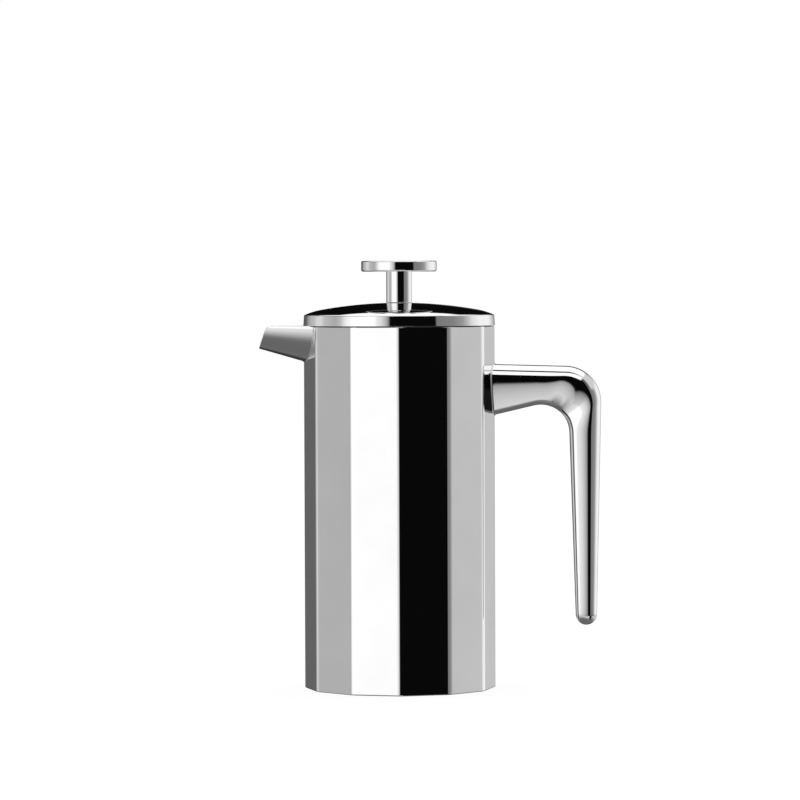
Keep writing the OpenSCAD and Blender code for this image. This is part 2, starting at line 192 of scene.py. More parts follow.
def cut(obj, cutters):
    """Cuts shapes out of a piece and removes the cutters."""
    for cutter in cutters:
        boolean = obj.modifiers.new("cut", "BOOLEAN")
        boolean.operation = "DIFFERENCE"
        boolean.solver = "EXACT"
        boolean.object = cutter
    bake_modifiers(obj)
    for cutter in cutters:
        bpy.data.objects.remove(cutter)
    return obj


def round_cutter(name, x, y, radius, bottom, top, sides=48):
    """A closed cylinder for cutting, standing at x, y."""
    rings = [[(x + radius * math.cos(TAU * i / sides), y + radius * math.sin(TAU * i / sides), z)
              for i in range(sides)] for z in (bottom, top)]
    return closed_solid(name, rings)


def corner_bend(steps=16):
    """One corner of the body, on the X axis, as a bend that eases into the flats.

    Gives (point, angle of the normal) at each step.
    """
    turns, points = [], [Vector((0, 0))]
    fine = 12
    for i in range(steps * fine + 1):
        t = i / (steps * fine)
        turns.append(HALF_SIDE * (2 * t * t * (3 - 2 * t) - 1))
    for a, b in zip(turns, turns[1:]):
        middle = (a + b) / 2
        step = Vector((-math.sin(middle), math.cos(middle))) * (CORNER_BEND / (steps * fine))
        points.append(points[-1] + step)
    middle_point = points[len(points) // 2]
    first = points[0] - middle_point
    reach = (APOTHEM - first.x * math.cos(HALF_SIDE) + first.y * math.sin(HALF_SIDE)) / math.cos(HALF_SIDE)
    return [(p - middle_point + Vector((reach, 0)), t) for p, t in list(zip(points, turns))[::fine]]


BEND = corner_bend()


def twelve_sides(inset=0.0):
    """Plan of the twelve-sided body as (x, y) points, moved in by inset."""
    points = []
    for i in range(CORNERS):
        a = TAU * i / CORNERS
        c, s = math.cos(a), math.sin(a)
        for p, turn in BEND:
            x, y = p.x - inset * math.cos(turn), p.y - inset * math.sin(turn)
            points.append((x * c - y * s, x * s + y * c))
    return points


def round_ring(plan, radius, z):
    """A circle with one point in the direction of each point of a plan."""
    return [(radius * math.cos(a), radius * math.sin(a), z)
            for a in (math.atan2(y, x) for x, y in plan)]


def bar(name, points, radius, sides=10):
    """A round wire along a list of points."""
    rings = []
    path = [Vector(p) for p in points]
    up = Vector((0, 0, 1))
    for i, p in enumerate(path):
        before = path[i - 1] if i > 0 else p
        after = path[i + 1] if i < len(path) - 1 else p
        along = (after - before).normalized()
        side = along.cross(up)
        side = side.normalized() if side.length > 1e-6 else Vector((1, 0, 0))
        top = side.cross(along)
        rings.append([p + radius * (side * math.cos(TAU * j / sides) + top * math.sin(TAU * j / sides))
                      for j in range(sides)])
    return closed_solid(name, rings, 60)


# ---------- materials ----------

def material(name):
    """A new material: (material, its node tree, its Principled shader, object coordinates)."""
    mat = bpy.data.materials.new(name)
    mat.use_nodes = True
    tree = mat.node_tree
    shader = tree.nodes["Principled BSDF"]
    where = tree.nodes.new("ShaderNodeTexCoord").outputs["Object"]
    return mat, tree, shader, where


def stretched(tree, where, scale):
    """Coordinates scaled differently along each axis, for grain and streaks."""
    node = tree.nodes.new("ShaderNodeMapping")
    node.inputs["Scale"].default_value = scale
    tree.links.new(where, node.inputs["Vector"])
    return node.outputs["Vector"]


def noise(tree, where, scale, detail=3.0, rough=0.5):
    """A cloudy pattern between 0 and 1."""
    node = tree.nodes.new("ShaderNodeTexNoise")
    node.inputs["Scale"].default_value = scale
    node.inputs["Detail"].default_value = detail
    node.inputs["Roughness"].default_value = rough
    tree.links.new(where, node.inputs["Vector"])
    return node.outputs["Fac"]


def spread(tree, value, a, b, start=0.3, end=0.7):
    """Maps a pattern's values from start..end to a..b."""
    node = tree.nodes.new("ShaderNodeMapRange")
    node.inputs["From Min"].default_value = start
    node.inputs["From Max"].default_value = end
    node.inputs["To Min"].default_value = a
    node.inputs["To Max"].default_value = b
    tree.links.new(value, node.inputs["Value"])
    return node.outputs["Result"]


def tint(tree, value, dark, light):
    """Colour that runs from dark to light with a pattern."""
    node = tree.nodes.new("ShaderNodeValToRGB")
    node.color_ramp.elements[0].position = 0.3
    node.color_ramp.elements[0].color = (*dark, 1)
    node.color_ramp.elements[1].position = 0.7
    node.color_ramp.elements[1].color = (*light, 1)
    tree.links.new(value, node.inputs["Fac"])
    return node.outputs["Color"]


def bump(tree, shader, height, strength, distance):
    """Adds relief from a pattern, on top of any that the shader has."""
    node = tree.nodes.new("ShaderNodeBump")
    node.inputs["Strength"].default_value = strength
    node.inputs["Distance"].default_value = distance
    tree.links.new(height, node.inputs["Height"])
    previous = shader.inputs["Normal"].links
    if previous:
        tree.links.new(previous[0].from_socket, node.inputs["Normal"])
    tree.links.new(node.outputs["Normal"], shader.inputs["Normal"])


def mirror_steel():
    """Mirror-polished stainless steel: faint buffing haze, hairlines and a slight waviness."""
    mat, tree, shader, where = material("mirror_steel")
    shader.inputs["Metallic"].default_value = 1
    haze = noise(tree, where, 34, 4)
    tree.links.new(tint(tree, haze, (0.80, 0.805, 0.80), (0.84, 0.845, 0.84)), shader.inputs["Base Color"])
    hairlines = noise(tree, stretched(tree, where, (900, 900, 60)), 1, 2, 0.7)
    smudge = noise(tree, where, 60, 5, 0.6)
    both = tree.nodes.new("ShaderNodeMath")
    both.operation = "MULTIPLY"
    tree.links.new(hairlines, both.inputs[0])
    tree.links.new(smudge, both.inputs[1])
    tree.links.new(spread(tree, both.outputs[0], 0.018, 0.05, 0.1, 0.4), shader.inputs["Roughness"])
    bump(tree, shader, noise(tree, where, 22, 1), 0.05, 0.0004)
    return mat


def satin_steel(name="satin_steel", turned=False):
    """Brushed stainless steel for the inside and the filter."""
    mat, tree, shader, where = material(name)
    shader.inputs["Metallic"].default_value = 1
    scale = (2600, 2600, 40) if not turned else (40, 40, 2600)
    streaks = noise(tree, stretched(tree, where, scale), 1, 3, 0.6)
    cloud = noise(tree, where, 45, 4)
    tree.links.new(tint(tree, streaks, (0.52, 0.52, 0.51), (0.68, 0.68, 0.67)), shader.inputs["Base Color"])
    tree.links.new(spread(tree, cloud, 0.22, 0.36), shader.inputs["Roughness"])
    bump(tree, shader, streaks, 0.15, 0.00004)
    return mat


def wire_steel():
    """Drawn wire of the coil: darker, with fine draw marks."""
    mat, tree, shader, where = material("spring_wire")
    shader.inputs["Metallic"].default_value = 1
    marks = noise(tree, where, 4200, 3, 0.6)
    tree.links.new(tint(tree, marks, (0.42, 0.42, 0.41), (0.62, 0.62, 0.6)), shader.inputs["Base Color"])
    tree.links.new(spread(tree, marks, 0.2, 0.38), shader.inputs["Roughness"])
    return mat


def woven_wire():
    """Fine woven mesh: two sets of wires that cross at right angles."""
    mat, tree, shader, where = material("woven_wire")
    shader.inputs["Metallic"].default_value = 1
    threads = []
    for direction in ("X", "Y"):
        wave = tree.nodes.new("ShaderNodeTexWave")
        wave.bands_direction = direction
        wave.inputs["Scale"].default_value = 620
        tree.links.new(where, wave.inputs["Vector"])
        threads.append(wave.outputs["Fac"])
    cross = tree.nodes.new("ShaderNodeMath")
    cross.operation = "MAXIMUM"
    tree.links.new(threads[0], cross.inputs[0])
    tree.links.new(threads[1], cross.inputs[1])
    weave = cross.outputs[0]
    tree.links.new(tint(tree, weave, (0.08, 0.08, 0.08), (0.6, 0.6, 0.58)), shader.inputs["Base Color"])
    tree.links.new(spread(tree, weave, 0.6, 0.3), shader.inputs["Roughness"])
    bump(tree, shader, weave, 0.6, 0.0001)
    return mat


def silicone():
    """Dark matt silicone with a fine grain."""
    mat, tree, shader, where = material("dark_silicone")
    grain = noise(tree, where, 900, 3)
    colour = tint(tree, grain, (0.018, 0.018, 0.018), (0.035, 0.035, 0.036))
    tree.links.new(colour, shader.inputs["Base Color"])
    tree.links.new(spread(tree, grain, 0.5, 0.7), shader.inputs["Roughness"])
    bump(tree, shader, grain, 0.2, 0.00005)
    return mat


def plastic():
    """Off-white plastic with a fine grain."""
    mat, tree, shader, where = material("white_plastic")
    grain = noise(tree, where, 700, 3)
    tree.links.new(tint(tree, grain, (0.72, 0.72, 0.69), (0.8, 0.8, 0.77)), shader.inputs["Base Color"])
    tree.links.new(spread(tree, grain, 0.34, 0.46), shader.inputs["Roughness"])
    bump(tree, shader, grain, 0.1, 0.00003)
    return mat


MIRROR = mirror_steel()
SATIN = satin_steel()
TURNED = satin_steel("turned_steel", turned=True)
WIRE = wire_steel()
WOVEN = woven_wire()
SILICONE = silicone()
PLASTIC = plastic()


def place(obj, body, mat, slot, *nodes):
    """Gives a finished piece its material and its body and hides the CAD nodes it stands for; slot is not
    used.
    """
    obj.data.materials.clear()
    obj.data.materials.append(mat)
    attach(obj, body)
    if nodes:
        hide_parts(*nodes)
    return obj


# ---------- body ----------

SPOUT_TOP = high("spout").z
SPOUT_ROOT = 19.6 * MM
SPOUT_LIP = 12.5 * MM
SPOUT_WALL = 1 * MM
SPOUT_REACH = 24.5 * MM
SPOUT_SLOPE = (SPOUT_ROOT - SPOUT_LIP) / SPOUT_REACH
LIP_LEAN = math.radians(19)
LIP_ROUND = 4 * MM
SEAM = 0.3 * MM
CUT_TOP = RIM + 3 * MM  # how high the cutters at the mouth reach


def cone_radius(x, inset=0.0):
    """Radius of the spout's cone at x, which is negative."""
    return SPOUT_ROOT + SPOUT_SLOPE * (CORNER_REACH + x) - inset


def cone_cutter(name, top):
    """A closed solid of the spout's cone below top, for cutting its way through the walls."""
    inside_beaker, outside_body = -36 * MM, -CORNER_REACH - 6 * MM
    steps = 72
    rings = []
    for x in (inside_beaker, outside_body):
        r = cone_radius(x)
        ring = [(x, r * math.cos(math.pi * i / steps), SPOUT_TOP - r * math.sin(math.pi * i / steps))
                for i in range(steps + 1)]
        ring += [(x, -r, top), (x, r, top)]
        rings.append(ring)
    return closed_solid(name, rings)


def jacket():
    """Twelve flat mirror facets, eased corners, and edges rolled in at top and bottom."""
    roll = 0.5 * MM
    foot = 0.7 * MM
    wall = SHEET + 0.4 * MM
    profile = [(foot - foot * math.cos(math.radians(a)), foot - foot * math.sin(math.radians(a)))
               for a in range(90, -1, -15)]
    profile += [(roll - roll * math.cos(math.radians(a)), RIM - roll + roll * math.sin(math.radians(a)))
                for a in range(0, 91, 15)]
    profile += [(wall, RIM), (wall, 0)]
    bm = bmesh.new()
    add_grid(bm, [[(x, y, z) for x, y in twelve_sides(inset)] for inset, z in profile], close_ends=True)
    obj = from_bmesh("jacket", bm, 50)
    cut(obj, [cone_cutter("notch", CUT_TOP)])
    true_flats(obj)
    return place(obj, "vessel", MIRROR, "polished_steel", "outer_jacket")


def beaker():
    """Round inner wall with a dished floor corner, notched for the spout's throat."""
    floor = low("inner_beaker").z + SHEET
    turn = 6 * MM
    lip_drop, lip_width = 0.8 * MM, 0.2 * MM
    middle = (BEAKER_INNER - turn, floor + turn)
    profile = [(0, floor - SHEET)] + arc(middle, turn + SHEET, -90, 0, 10)
    profile += [(BEAKER_OUTER, RIM - lip_width), (BEAKER_INNER + lip_width, RIM - lip_width)]
    profile += [(BEAKER_INNER, RIM - lip_drop)] + arc(middle, turn, 0, -90, 10) + [(0, floor)]
    obj = lathe("beaker", profile)
    cut(obj, [cone_cutter("notch", CUT_TOP)])
    true_flats(obj)
    return place(obj, "vessel", SATIN, "satin_steel", "inner_beaker")


def rim():
    """Pressed rim between the walls, with a rounded inner lip."""
    bm = bmesh.new()
    inset = 1.1 * MM
    lip = 0.5 * MM
    depth = 1 * MM
    outside = twelve_sides(inset)
    rings = [[(x, y, RIM - depth) for x, y in outside], [(x, y, RIM) for x, y in outside]]
    for degrees in range(90, 181, 18):
        a = math.radians(degrees)
        radius, z = BEAKER_INNER + lip + lip * math.cos(a), RIM - lip + lip * math.sin(a)
        rings.append(round_ring(outside, radius, z))
    rings.append(round_ring(outside, BEAKER_INNER, RIM - depth))
    add_grid(bm, rings, close_ends=True)
    obj = from_bmesh("rim", bm, 50)
    cut(obj, [cone_cutter("notch", CUT_TOP)])
    true_flats(obj)
    return place(obj, "vessel", MIRROR, "polished_steel", "rim_ring")


def base():
    """Base plate: a flat foot, a soft step and a shallow recess."""
    top = high("base_plate").z
    inset = 0.75 * MM
    foot = APOTHEM - 7 * MM
    recess = 1.2 * MM
    bm = bmesh.new()
    plan = twelve_sides(inset)
    rings = [[(x, y, top) for x, y in plan], [(x, y, 0.25 * MM) for x, y in plan],
             [(x * 0.995, y * 0.995, 0.0) for x, y in plan]]
    for r, z in ((foot + 0.8 * MM, 0), (foot + 0.3 * MM, 0.2 * MM), (foot - 0.3 * MM, recess - 0.2 * MM),
                 (foot - 0.9 * MM, recess), (foot - 12 * MM, recess), (foot - 13 * MM, recess + 0.3 * MM),
                 (foot - 14 * MM, recess), (1e-5, recess)):
        rings.append(round_ring(plan, r, z))
    made = add_grid(bm, rings)
    bm.faces.new(made[0])
    obj = from_bmesh("base", bm, 50)
    true_flats(obj)
    return place(obj, "vessel", TURNED, "satin_steel", "base_plate")


def lip_x(z):
    """Where the spout's lip is cut at height z: a slant, then a rounded top."""
    tip_z = SPOUT_TOP - SPOUT_LIP
    tip_x = -CORNER_REACH - SPOUT_REACH
    tangent_z = SPOUT_TOP - LIP_ROUND + LIP_ROUND * math.sin(LIP_LEAN)
    tangent_x = tip_x + math.tan(LIP_LEAN) * (tangent_z - tip_z)
    if z <= tangent_z:
        return tip_x + math.tan(LIP_LEAN) * (z - tip_z)
    centre_x = tangent_x + LIP_ROUND * math.cos(LIP_LEAN)
    rise = min(z - (SPOUT_TOP - LIP_ROUND), LIP_ROUND)
    return centre_x - math.sqrt(max(LIP_ROUND ** 2 - rise ** 2, 0))


def on_generator(turn, inset, x):
    """Point at x on the straight line of the cone in the direction turn."""
    r = cone_radius(x, inset)
    return Vector((x, r * math.cos(turn), SPOUT_TOP - r * math.sin(turn)))


def lip_point(turn, inset):
    """Where a straight line of the cone meets the lip's cut, found by stepping."""
    x = -CORNER_REACH - SPOUT_REACH
    for _ in range(30):
        x = lip_x(on_generator(turn, inset, x).z)
    return x


def spout():
    """Half-cone channel with a wall of even thickness and a rounded lip."""
    rings = []
    steps = 96
    shares = (0, 0.25, 0.5, 0.75, 0.9, 0.96, 1)
    for i in range(steps + 1):
        turn = math.pi * i / steps
        ring = []
        lips = lip_point(turn, 0), lip_point(turn, SPOUT_WALL)
        for inset, lip, order in ((0, lips[0], 1), (SPOUT_WALL, lips[1], -1)):
            inner = -BEAKER_INNER
            for _ in range(30):
                half = cone_radius(inner, inset) * math.cos(turn)
                inner = -math.sqrt(BEAKER_INNER ** 2 - half ** 2)
            line = [on_generator(turn, inset, mix(inner, lip, t)) for t in shares]
            ring += line[::order]
        rings.append(ring)
    obj = closed_solid("spout", rings, 50)
    soften(obj, 0.3 * MM, 3, 50)
    bake_modifiers(obj)
    cut(obj, [round_cutter("trim", 0, 0, LID_RADIUS + SEAM, RIM, CUT_TOP, 192)])
    true_flats(obj)
    return place(obj, "vessel", MIRROR, "polished_steel", "spout")


def spout_weld():
    """Polished weld where the spout leaves the jacket's two facets."""
    points = []
    c, s = math.cos(HALF_SIDE), math.sin(HALF_SIDE)
    steps = 96
    bead = 0.35 * MM
    for i in range(steps + 1):
        turn = math.pi * i / steps
        side = abs(math.cos(turn))
        # |x| cos + |y| sin = apothem, with |y| growing along the cone
        x = (APOTHEM - (SPOUT_ROOT + SPOUT_SLOPE * CORNER_REACH) * side * s) / (c - SPOUT_SLOPE * side * s)
        r = cone_radius(-x)
        points.append((-x, r * math.cos(turn), min(SPOUT_TOP - r * math.sin(turn), RIM - 0.3 * MM)))
    obj = bar("spout_weld", points, bead)
    return place(obj, "vessel", MIRROR, "polished_steel")


# ---------- handle ----------

HANDLE_LOW, HANDLE_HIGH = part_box("handle")
REACH = HANDLE_HIGH.x
HANDLE_DROP = 21.1 * MM
ARM_DEPTH = 28.1 * MM
UNDERSIDE_RISE = 5.7 * MM
GRIP_LEAN = 2.6 * MM
ARM_TOP = RIM - HANDLE_DROP
ARM_BOTTOM = ARM_TOP - ARM_DEPTH
ARM_FALL = 1.1 * MM
ELBOW_OUT = 20 * MM
ELBOW_IN = 16 * MM
GRIP_DEPTH = 17.4 * MM
GRIP_END_DEPTH = 11.6 * MM
TIP = 6.1 * MM
HALF_WIDTH = 8.5 * MM
END_HALF_WIDTH = 5.9 * MM
ROOT_FLARE = 1 * MM
ROOT_SINK = 0.25 * MM
OUT_CENTRE = Vector((REACH - ELBOW_OUT, ARM_TOP - ARM_FALL - ELBOW_OUT))
IN_CENTRE = Vector((REACH - GRIP_DEPTH - ELBOW_IN, ARM_BOTTOM + UNDERSIDE_RISE - ELBOW_IN))
END_BACK = Vector((REACH - GRIP_LEAN, HANDLE_LOW.z + TIP))
END_FRONT = END_BACK - Vector((GRIP_END_DEPTH, 0))
UNDERSIDE = math.radians(13.3)
TIP_TURN = math.radians(88)

# How many sections each stretch of the handle has
ARM_STEPS, ELBOW_STEPS, GRIP_STEPS, TIP_STEPS = 24, 48, 32, 16

# The section: where its arcs meet, as directions, and their radii as shares of the half width.
# The inner corner's share falls as the section gets deeper.
INNER_TURN, SIDE_TURN, BACK_TURN = math.radians(106), math.radians(97.5), math.radians(67.5)
CORNER_MOST, CORNER_START, CORNER_FALL = 0.49, 1.4, 0.257
SHOULDER_SHARE = 0.417
BACK_SHARE = 1.05


def on_line(a, b, value, axis):
    """Point of the line through a and b where its coordinate on that axis has the value."""
    return a + (b - a) * ((value - a[axis]) / (b[axis] - a[axis]))


def handle_stations():
    """Sections in the XZ plane: (inside point, back point, half width).

    They stand upright along the arm, fan out round the inner elbow, and lie level down the grip.
    """
    quarter = math.pi / 2
    root = CORNER_REACH - 1 * MM
    root_in, root_out = Vector((root, ARM_BOTTOM)), Vector((root, ARM_TOP))
    arm_in = around(IN_CENTRE, ELBOW_IN, quarter + UNDERSIDE)
    arm_out, grip_out = OUT_CENTRE + Vector((0, ELBOW_OUT)), OUT_CENTRE + Vector((ELBOW_OUT, 0))
    grip_in = IN_CENTRE + Vector((ELBOW_IN, 0))
    stations = []
    for i in range(ARM_STEPS):
        x = mix(root, IN_CENTRE.x, i / ARM_STEPS)
        inside = on_line(root_in, arm_in, x, 0)
        if x > arm_in.x:
            inside = around(IN_CENTRE, ELBOW_IN, math.acos((x - IN_CENTRE.x) / ELBOW_IN))
        stations.append((inside, on_line(root_out, arm_out, x, 0), HALF_WIDTH))
    for i in range(ELBOW_STEPS):
        turn = quarter * (1 - i / ELBOW_STEPS)
        ray = Vector((math.cos(turn), math.sin(turn)))
        start = IN_CENTRE - OUT_CENTRE
        reach = -start.dot(ray) + math.sqrt(start.dot(ray) ** 2 - start.length_squared + ELBOW_OUT ** 2)
        back = IN_CENTRE + ray * reach
        if back.x < OUT_CENTRE.x:
            top = (arm_out - root_out).normalized()
            back = IN_CENTRE + ray * ((root_out - IN_CENTRE).cross(top) / ray.cross(top))
        elif back.y < OUT_CENTRE.y:
            down = (END_BACK - grip_out).normalized()
            back = IN_CENTRE + ray * ((grip_out - IN_CENTRE).cross(down) / ray.cross(down))
        stations.append((around(IN_CENTRE, ELBOW_IN, turn), back, HALF_WIDTH))
    for i in range(GRIP_STEPS + 1):
        z = mix(grip_in.y, END_BACK.y, i / GRIP_STEPS)
        stations.append((on_line(grip_in, END_FRONT, z, 1), on_line(grip_out, END_BACK, z, 1),
                         mix(HALF_WIDTH, END_HALF_WIDTH, i / GRIP_STEPS)))
    middle = (END_FRONT + END_BACK) / 2
    for i in range(1, TIP_STEPS + 1):
        a = TIP_TURN * i / TIP_STEPS
        half = Vector((GRIP_END_DEPTH / 2 * math.cos(a), 0))
        down = middle - Vector((0, TIP * math.sin(a)))
        stations.append((down - half, down + half, END_HALF_WIDTH * math.cos(a)))
    return stations


def half_section(depth, width, side_depth):
    """One side of the cross-section as (depth, half width), from inside to back. Its arcs are tangent."""
    inner_turn, side_turn, back_turn = INNER_TURN, SIDE_TURN, BACK_TURN
    corner = width * min(CORNER_MOST, CORNER_START - CORNER_FALL * depth / width)
    shoulder = SHOULDER_SHARE * width
    back = BACK_SHARE * width
    taken = shoulder * (math.cos(back_turn) - math.cos(side_turn)) + back * (1 - math.cos(back_turn))
    spare = side_depth - taken - corner * (1 + math.cos(inner_turn))
    side = spare / (math.cos(side_turn) - math.cos(inner_turn))
    inner_turn = math.acos((corner + side * math.cos(side_turn) - depth + taken) / (side - corner))
    back_centre = Vector((depth - back, 0))
    shoulder_centre = around(back_centre, back - shoulder, back_turn)
    side_centre = around(shoulder_centre, shoulder - side, side_turn)
    corner_centre = around(side_centre, side - corner, inner_turn)
    points = [around(corner_centre, corner, mix(math.pi, inner_turn, i / 12)) for i in range(12)]
    points += [around(side_centre, side, mix(inner_turn, side_turn, i / 12)) for i in range(12)]
    points += [around(shoulder_centre, shoulder, mix(side_turn, back_turn, i / 10)) for i in range(10)]
    points += [around(back_centre, back, mix(back_turn, 0, i / 16)) for i in range(17)]
    return [(p.x, p.y) for p in points]


def handle_ring(station, side_depth, grow=0.0):
    """Points round the section at a station."""
    inside, back, width = station
    depth = (back - inside).length
    along = (back - inside) / depth
    half = half_section(depth + 2 * grow, width + grow, side_depth + 2 * grow)
    outline = half + [(u, -v) for u, v in half[-2::-1]]
    return [Vector((q.x, v, q.y)) for q, v in ((inside + along * (u - grow), v) for u, v in outline)]


def seat(ring, clearance=0.0):
    """Pushes a ring onto the two facets that meet at the body's corner."""
    return [Vector((CORNER_REACH + clearance - abs(p.y) * math.tan(HALF_SIDE), p.y, p.z)) for p in ring]


def handle():
    """Hollow handle as one polished skin, flared where it is welded to the body."""
    stations = handle_stations()
    side_depths = [(back - inside).length for inside, back, _ in stations]
    elbow = [i for i, s in enumerate(stations) if IN_CENTRE.x <= s[0].x and IN_CENTRE.y < s[0].y]
    first, last = side_depths[elbow[0]], side_depths[elbow[-1] + 1]
    for step, i in enumerate(elbow):
        t = step / len(elbow)
        side_depths[i] = mix(first, last, t * t * (3 - 2 * t))
    rings = []
    flare_steps = 6
    for i in range(flare_steps + 1):
        a = math.pi / 2 * i / flare_steps
        ring = handle_ring(stations[0], side_depths[0], ROOT_FLARE * (1 - math.sin(a)))
        rings.append(seat(ring, ROOT_FLARE * (1 - math.cos(a)) - ROOT_SINK))
    rings += [handle_ring(s, depth) for s, depth in zip(stations[1:], side_depths[1:])]
    bm = bmesh.new()
    made = add_grid(bm, rings)
    bm.faces.new(made[-1])
    bm.faces.new(made[0])
    obj = from_bmesh("handle_skin", bm, 70)
    return place(obj, "vessel", MIRROR, "polished_steel", "handle")


# ---------- lid ----------

DOME_TOP = RIM + 12.9 * MM
DOME_RADIUS = 245 * MM
SHOULDER_START = 43 * MM
SHOULDER_SLOPE = math.radians(24)
LID_EDGE = 1 * MM
BAND_TAPER = 0.3 * MM
COVER = 0.8 * MM
BUSH = 4.5 * MM
BORE = 2.5 * MM  # the bore that the rod fills


def lid_curve(inset):
    """Lid from the top of its band over edge and shoulder to the middle, thinned by inset."""
    quarter = math.pi / 2
    start, end = math.asin(SHOULDER_START / DOME_RADIUS), SHOULDER_SLOPE
    run = LID_RADIUS - BAND_TAPER - LID_EDGE * (1 - math.sin(end)) - SHOULDER_START
    shoulder = run / (math.sin(end) - math.sin(start))
    dome_centre = Vector((0, DOME_TOP - DOME_RADIUS))
    shoulder_centre = around(dome_centre, DOME_RADIUS - shoulder, quarter - start)
    edge_centre = around(shoulder_centre, shoulder - LID_EDGE, quarter - end)
    stop = math.asin(BUSH / (DOME_RADIUS - inset))
    points = [around(edge_centre, LID_EDGE - inset, mix(0, quarter - end, i / 10)) for i in range(11)]
    points += [around(shoulder_centre, shoulder - inset, mix(quarter - end, quarter - start, i / 12))
               for i in range(1, 13)]
    points += [around(dome_centre, DOME_RADIUS - inset, quarter - mix(start, stop, i / 36))
               for i in range(1, 37)]
    return [(p.x, p.y) for p in points]


def lid():
    """Domed cover with its polished band."""
    foot = 0.15 * MM
    outer = arc((LID_RADIUS - foot, BAND_FOOT + foot), foot, -90, 0, 4) + lid_curve(0)
    inner = lid_curve(COVER)[::-1] + [(LID_RADIUS - COVER, BAND_FOOT)]
    obj = lathe("lid_dome", outer + inner, 256, 50)
    true_flats(obj)
    return place(obj, "lid", MIRROR, "polished_steel", "lid_cover")


def simple_lathe(name, body, mat, slot, nodes, profile, bevel=0.15 * MM, segments=192):
    """A turned piece with softened edges."""
    obj = soft_edges(lathe(name, profile, segments), bevel)
    return place(obj, body, mat, slot, *nodes)


def rectangle(inner, outer, bottom, top):
    """Outline of a plain ring or disc, for turning."""
    return [(inner, bottom), (outer, bottom), (outer, top), (inner, top)]


def lid_parts():
    """Liner with a pressed bead under the dome, and the seal below the band."""
    bottom, top = low("lid_liner").z, high("lid_liner").z
    edge = high("lid_liner").x - 0.05 * MM
    bead_inner, bead_outer, bead = 35 * MM, 42 * MM, 0.5 * MM
    under_inner, under_outer = 34 * MM, 43 * MM
    over_inner, over_outer = 34.4 * MM, 42.6 * MM
    liner = [(BUSH, bottom), (under_inner, bottom),
             (bead_inner, bottom + bead), (bead_outer, bottom + bead),
             (under_outer, bottom), (edge, bottom), (edge, top), (over_outer, top),
             (bead_outer, top + bead), (bead_inner, top + bead), (over_inner, top), (BUSH, top)]
    simple_lathe("liner", "lid", TURNED, "satin_steel", ["lid_liner"], liner, 0.1 * MM)
    seal_low, seal_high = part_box("lid_seal")
    seal_in = high("strainer_collar").x + 0.35 * MM
    seal = [(seal_in, seal_low.z), (seal_high.x, seal_low.z),
            (seal_high.x - 0.2 * MM, seal_high.z - 0.4 * MM),
            (seal_high.x - 0.8 * MM, seal_high.z), (seal_in, seal_high.z)]
    simple_lathe("seal", "lid_rest", SILICONE, "dark_silicone", ["lid_seal"], seal, 0.1 * MM)


def strainer():
    """Collar with rounded slots that face the spout, and softened edges."""
    bottom, top = low("strainer_collar").z, high("strainer_collar").z
    outer = high("strainer_collar").x
    inner = outer - SHEET
    obj = lathe("strainer", rectangle(inner, outer, bottom, top))
    slots = 11
    spread_angle = math.radians(46)
    half = 0.8 * MM
    slot_foot, slot_head, reach = 4 * MM, 6 * MM, 3 * MM
    cutters = []
    for i in range(slots):
        a = math.pi + spread_angle * (i / (slots - 1) - 0.5)
        z0, z1 = bottom + slot_foot + half, top - slot_head - half
        outline = arc((0, z0), half, 180, 360, 8) + arc((0, z1), half, 0, 180, 8)
        rings = []
        for r in (outer - reach, outer + reach):
            rings.append([(r * math.cos(a) - y * math.sin(a), r * math.sin(a) + y * math.cos(a), z)
                          for y, z in outline])
        cutters.append(closed_solid(f"slot_{i}", rings))
    cut(obj, cutters)
    soft_edges(obj, 0.12 * MM)
    return place(obj, "lid", SATIN, "satin_steel", "strainer_collar")


def hexagon(name, node, bore):
    """Six-sided nut with chamfered corners and a plain bore."""
    bottom, top = low(node).z, high(node).z
    across = high(node).x
    bm = bmesh.new()
    rings = []
    plan = 96
    flat = across * math.cos(math.pi / 6)

    def hex_radius(a, limit):
        return min(flat / math.cos((a % (math.pi / 3)) - math.pi / 6), limit)

    bevel = 0.5 * MM
    for limit, z in ((bore + 0.2 * MM, bottom), (flat * 1.02, bottom), (across, bottom + bevel),
                     (across, top - bevel), (flat * 1.02, top), (bore + 0.2 * MM, top)):
        rings.append([(hex_radius(TAU * i / plan, limit) * math.cos(TAU * i / plan),
                       hex_radius(TAU * i / plan, limit) * math.sin(TAU * i / plan), z)
                      for i in range(plan)])
    for z in (top - 0.2 * MM, bottom + 0.2 * MM):
        rings.append([(bore * math.cos(TAU * i / plan), bore * math.sin(TAU * i / plan), z)
                      for i in range(plan)])
    add_grid(bm, rings, close_ends=True)
    return from_bmesh(name, bm, 25)


def bush_parts():
    """Flanged bush through the lid, the nut on it and the plastic sleeve in it."""
    bush_low, bush_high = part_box("lid_bush")
    bore, flange, flange_height = 3.5 * MM, bush_high.x, 1.5 * MM
    under = DOME_TOP - 1 * MM
    profile = [(bore, bush_low.z), (BUSH, bush_low.z), (BUSH, under - flange_height),
               (flange, under - flange_height),
               (flange, under), (BUSH, under), (BUSH, bush_high.z), (bore, bush_high.z)]
    simple_lathe("bush", "lid", TURNED, "satin_steel", ["lid_bush"], profile, 0.15 * MM, segments=96)
    nut = hexagon("nut", "bush_nut", BUSH)
    true_flats(nut)
    place(nut, "lid", SATIN, "satin_steel", "bush_nut")
    sleeve_low, sleeve_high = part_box("rod_sleeve")
    inner, outer, lip, lip_height = 2.55 * MM, 3.45 * MM, sleeve_high.x, 1.2 * MM
    profile = [(inner, sleeve_low.z), (lip, sleeve_low.z), (lip, sleeve_low.z + lip_height),
               (outer, sleeve_low.z + lip_height), (outer, sleeve_high.z), (inner, sleeve_high.z)]
    simple_lathe("sleeve", "rod_guide", PLASTIC, "white_plastic", ["rod_sleeve"], profile, 0.15 * MM,
                 segments=96)


# ---------- plunger ----------

